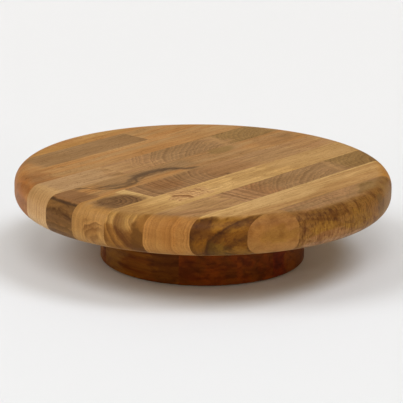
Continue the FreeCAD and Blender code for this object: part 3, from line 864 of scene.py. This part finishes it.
def plated_steel(name, colour, rough):
    """Zinc-plated steel: cloudy, with fine scratches and dull spots."""
    metal = Shader(name)
    cloud = metal.noise(metal.stretched(metal.place, (9, 9, 9), 3.0), 4.0, 0.6)
    spangle = metal.cells(metal.stretched(metal.place, (2.6, 2.6, 2.6), 5.0))
    scratch = metal.noise(metal.stretched(metal.place, (0.25, 14, 2), 7.0), 2.0)
    shade = metal.blend(metal.step(cloud, 0.35, 0.7), colour, tuple(0.78 * c for c in colour))
    shade = metal.blend(0.12, shade, spangle, "MULTIPLY")
    fine = metal.step(scratch, 0.55, 0.75, 0.0, 0.12)
    gloss = metal.add(metal.step(cloud, 0.3, 0.7, rough, rough + 0.16), fine)
    metal.bump(metal.times(metal.add(scratch, cloud), 0.012))
    return metal.finish(shade, gloss, metallic=1.0)


def bright_steel(name):
    """Polished ball steel with a trace of grease."""
    metal = Shader(name)
    smear = metal.noise(metal.stretched(metal.place, (1.4, 1.4, 1.4), 2.0), 3.0, 0.6)
    shade = metal.blend(metal.step(smear, 0.4, 0.7), (0.75, 0.75, 0.76), (0.62, 0.60, 0.55))
    return metal.finish(shade, metal.step(smear, 0.35, 0.7, 0.08, 0.24), metallic=1.0)


def natural_nylon(name):
    """Off-white nylon with faint flow marks."""
    plastic = Shader(name)
    flow = plastic.noise(plastic.stretched(plastic.place, (7, 7, 1), 4.0), 3.0, 0.5)
    grain = plastic.noise(plastic.stretched(plastic.place, (0.3, 0.3, 0.3), 6.0), 2.0)
    shade = plastic.blend(plastic.step(flow, 0.3, 0.7), (0.74, 0.72, 0.66), (0.66, 0.63, 0.55))
    plastic.bump(plastic.times(grain, 0.01))
    plastic.surface.inputs["Subsurface Weight"].default_value = 0.12
    plastic.surface.inputs["Subsurface Scale"].default_value = 0.5 * MM
    return plastic.finish(shade, plastic.step(flow, 0.3, 0.7, 0.42, 0.55))


def black_rubber(name):
    """Matt black rubber with a little dust."""
    rubber = Shader(name)
    grain = rubber.noise(rubber.stretched(rubber.place, (0.35, 0.35, 0.35), 1.0), 3.0, 0.6)
    dust = rubber.noise(rubber.stretched(rubber.place, (3, 3, 3), 9.0), 4.0, 0.65)
    shade = rubber.blend(rubber.step(dust, 0.5, 0.75, 0.0, 0.5), (0.018, 0.018, 0.019),
                         (0.06, 0.057, 0.052))
    rubber.bump(rubber.times(grain, 0.03))
    return rubber.finish(shade, rubber.step(dust, 0.4, 0.7, 0.62, 0.82), specular=0.35)


# ---------------------------------------------------------------- pieces

top_woods = {
    "stave_01_front": wood_stave_01_front,
    "stave_01_rear": wood_stave_01_rear,
    "stave_02": wood_stave_02,
    "stave_03_front": wood_stave_03_front,
    "stave_03_rear": wood_stave_03_rear,
    "stave_04": wood_stave_04,
    "stave_05_front": wood_stave_05_front,
    "stave_05_rear": wood_stave_05_rear,
    "stave_06": wood_stave_06,
    "stave_07_front": wood_stave_07_front,
    "stave_07_rear": wood_stave_07_rear,
    "stave_08": wood_stave_08,
    "stave_09_front": wood_stave_09_front,
    "stave_09_rear": wood_stave_09_rear,
    "stave_10": wood_stave_10,
}
for name in top_names:
    stand_for(make_stave(name), name, "top", top_woods[name](f"{name}_wood"))

for number, name in enumerate(base_names, start=1):
    stand_for(make_base_stave(name), name, "base", wood_base(f"{name}_wood", number))

zinc = plated_steel("zinc_steel", (0.62, 0.63, 0.64), 0.26)
screw_steel = plated_steel("screw_steel", (0.60, 0.58, 0.52), 0.24)
nylon = natural_nylon("nylon")
rubber = black_rubber("foot_rubber")
stand_for(polished("bearing_lower_plate", PLATE_EASE), "bearing_lower_plate", "base",
          zinc)
stand_for(polished("bearing_upper_plate", PLATE_EASE), "bearing_upper_plate", "top",
          zinc)
stand_for(polished("ball_retainer", RETAINER_EASE), "ball_retainer", "ball_ring",
          nylon)
stand_for(make_balls(), "bearing_balls", "ball_ring",
          bright_steel("ball_steel"))
stand_for(polished("base_screws", SCREW_EASE), "base_screws", "base",
          screw_steel)
stand_for(polished("top_screws", SCREW_EASE), "top_screws", "top",
          screw_steel)
for name in foot_names:
    stand_for(make_foot(name), name, "base", rubber)


# ---------------------------------------------------------------- floor and light

FLOOR_RADIUS = 9.0

# The dome's colours at the horizon and from 30 degrees up
HORIZON_GLOW = (1.06, 0.68, 0.34, 1.0)
OVERHEAD_GLOW = (0.31, 0.27, 0.20, 1.0)
GLOW_HEIGHT = math.sin(math.radians(30))


def make_floor():
    """A wide plain floor that the feet stand on."""
    mesh = bmesh.new()
    bmesh.ops.create_circle(mesh, cap_ends=True, segments=96, radius=FLOOR_RADIUS)
    floor = add_object("floor", mesh)
    paint = Shader("floor_paint")
    mottle = paint.noise(paint.stretched(paint.place, (900, 900, 900), 2.0), 2.0)
    shade = paint.blend(mottle, (0.690, 0.694, 0.700), (0.712, 0.714, 0.718))
    floor.data.materials.append(paint.finish(shade, 0.7, specular=0.1))


def towards(azimuth, elevation):
    """A direction, given in degrees the way the camera's is."""
    azimuth, elevation = math.radians(azimuth), math.radians(elevation)
    return Vector((math.sin(azimuth) * math.cos(elevation),
                   -math.cos(azimuth) * math.cos(elevation), math.sin(elevation)))


def make_world():
    """A studio dome: dim overhead, brighter and warmer near the horizon."""
    world = bpy.data.worlds.new("studio")
    world.use_nodes = True
    tree = world.node_tree
    direction = tree.nodes.new("ShaderNodeTexCoord").outputs["Generated"]
    parts = tree.nodes.new("ShaderNodeSeparateXYZ")
    rise = tree.nodes.new("ShaderNodeMapRange")
    rise.inputs["From Min"].default_value = 0.0
    rise.inputs["From Max"].default_value = GLOW_HEIGHT
    mix = tree.nodes.new("ShaderNodeMix")
    mix.data_type = "RGBA"
    mix.inputs[MIX_A].default_value = HORIZON_GLOW
    mix.inputs[MIX_B].default_value = OVERHEAD_GLOW
    tree.links.new(direction, parts.inputs[0])
    tree.links.new(parts.outputs["Z"], rise.inputs["Value"])
    tree.links.new(rise.outputs["Result"], mix.inputs["Factor"])
    tree.links.new(mix.outputs[MIX_RESULT], tree.nodes["Background"].inputs["Color"])
    bpy.context.scene.world = world


def add_sun(name, azimuth, elevation, strength, spread, colour=(1.0, 1.0, 1.0)):
    """A soft distant light, its spread in degrees."""
    data = bpy.data.lights.new(name, "SUN")
    data.energy = strength
    data.color = colour
    data.angle = math.radians(spread)
    light = bpy.data.objects.new(name, data)
    bpy.context.scene.collection.objects.link(light)
    light.rotation_mode = "QUATERNION"
    light.rotation_quaternion = (-towards(azimuth, elevation)).to_track_quat("-Z", "Y")


def make_camera():
    """A long lens, a little above the top, aimed a little below it and to its left."""
    azimuth, elevation, roll = 40.5, 15.65, math.radians(0.6)
    distance = 1.5975
    aim_below, aim_left = 14.0 * MM, 1.05 * MM
    centre = Vector((0, 0, (top_low.z + top_high.z) / 2))
    right = towards(azimuth + 90, 0)
    aim = centre + Vector((0, 0, -aim_below)) - aim_left * right
    data = bpy.data.cameras.new("camera")
    data.sensor_width = 36
    data.lens = 178.7
    camera = bpy.data.objects.new("camera", data)
    bpy.context.scene.collection.objects.link(camera)
    camera.location = centre + distance * towards(azimuth, elevation)
    camera.rotation_mode = "QUATERNION"
    straight = (aim - camera.location).to_track_quat("-Z", "Y")
    camera.rotation_quaternion = straight @ Quaternion((0, 0, 1), roll)
    bpy.context.scene.camera = camera


make_floor()
make_world()
add_sun("left_light", -30, 47, 1.32, 34, (0.95, 1.0, 1.06))
add_sun("right_light", 106, 60, 1.27, 28, (0.94, 1.0, 1.09))
add_sun("front_light", 40, 50, 0.80, 24, (0.97, 1.0, 1.04))
add_sun("top_light", 0, 88, 0.24, 70, (0.80, 1.0, 1.25))
add_sun("low_left", -8, 4, 0.92, 24)
add_sun("low_right", 88, 4, 0.92, 24)
make_camera()
bpy.context.scene.view_settings.view_transform = "Standard"
